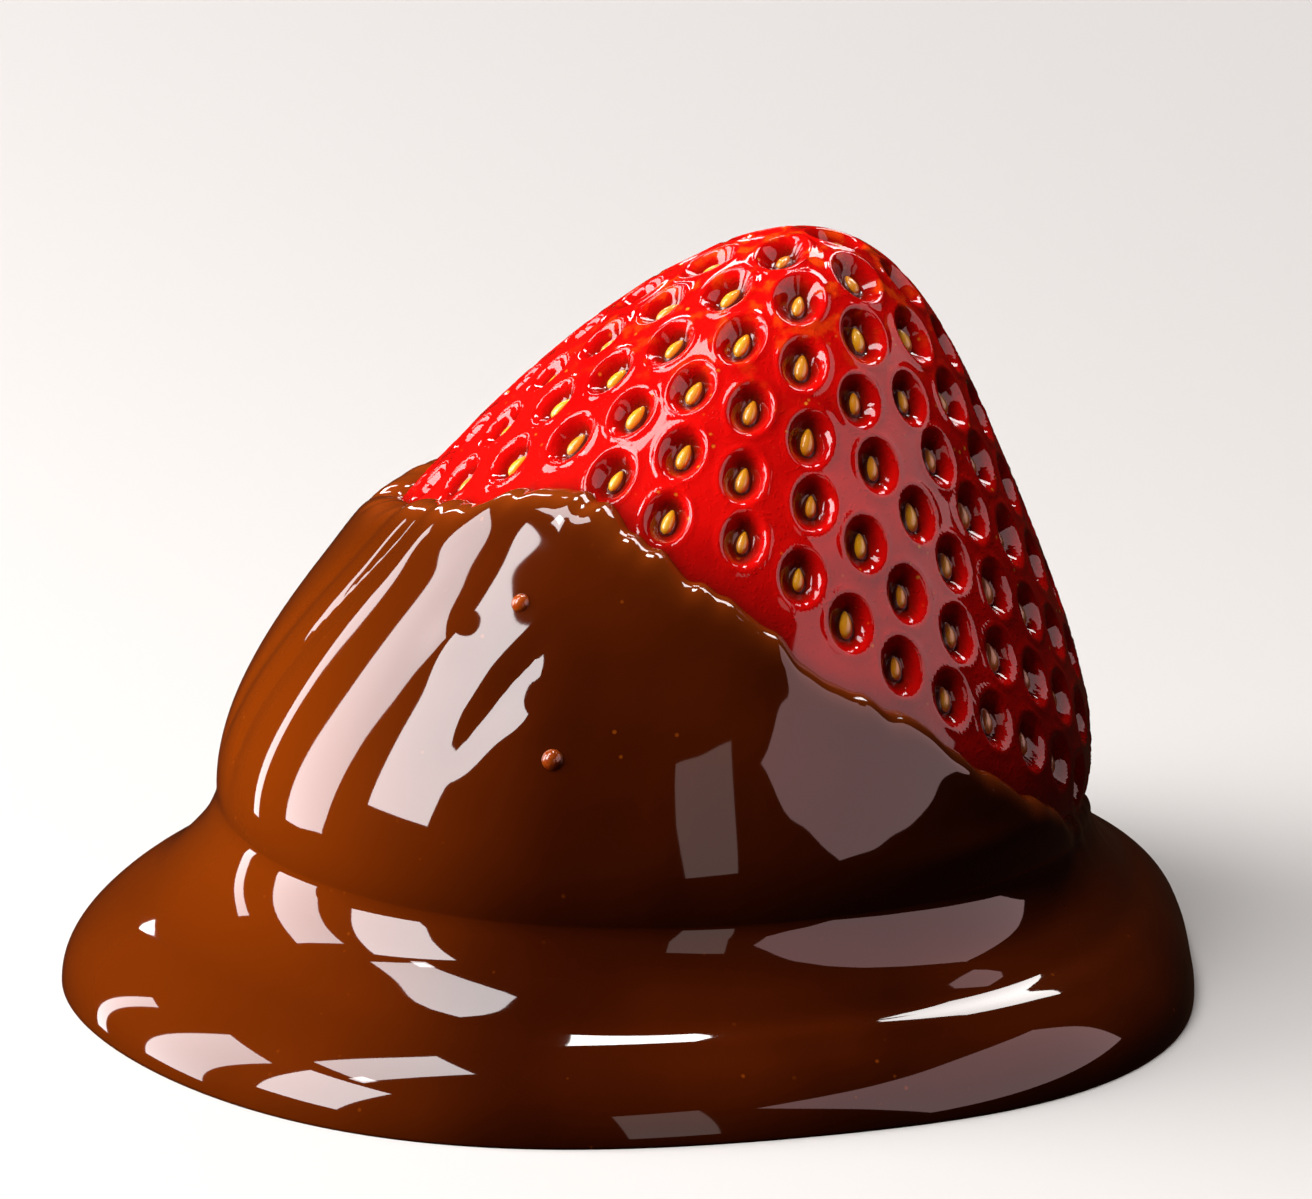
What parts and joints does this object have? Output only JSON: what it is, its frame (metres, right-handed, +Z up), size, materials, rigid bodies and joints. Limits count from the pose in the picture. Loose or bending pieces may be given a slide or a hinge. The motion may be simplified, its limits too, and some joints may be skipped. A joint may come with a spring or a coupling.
{
  "type": "chocolate coated strawberry",
  "caption": "Whole strawberry standing on its stem end, in a glossy dark chocolate coat with a slanting edge that leaves the seeded tip bare, and a thick skirt at the foot.",
  "frame": {"origin": "middle of the flat underside of the chocolate skirt, on the floor", "axes": "+Z up through the tip's side of the berry, -Y towards the front that the picture shows, +X to its right, the way the tip leans"},
  "size_m": [0.0582, 0.0591, 0.0391],
  "materials": {
    "strawberry": "wet ripe fruit skin, glossy",
    "chocolate_coat": "dark chocolate, very glossy"
  },
  "bodies": {
    "root": {"strawberry": "strawberry", "chocolate_coat": "chocolate_coat"}
  },
  "joints": []
}
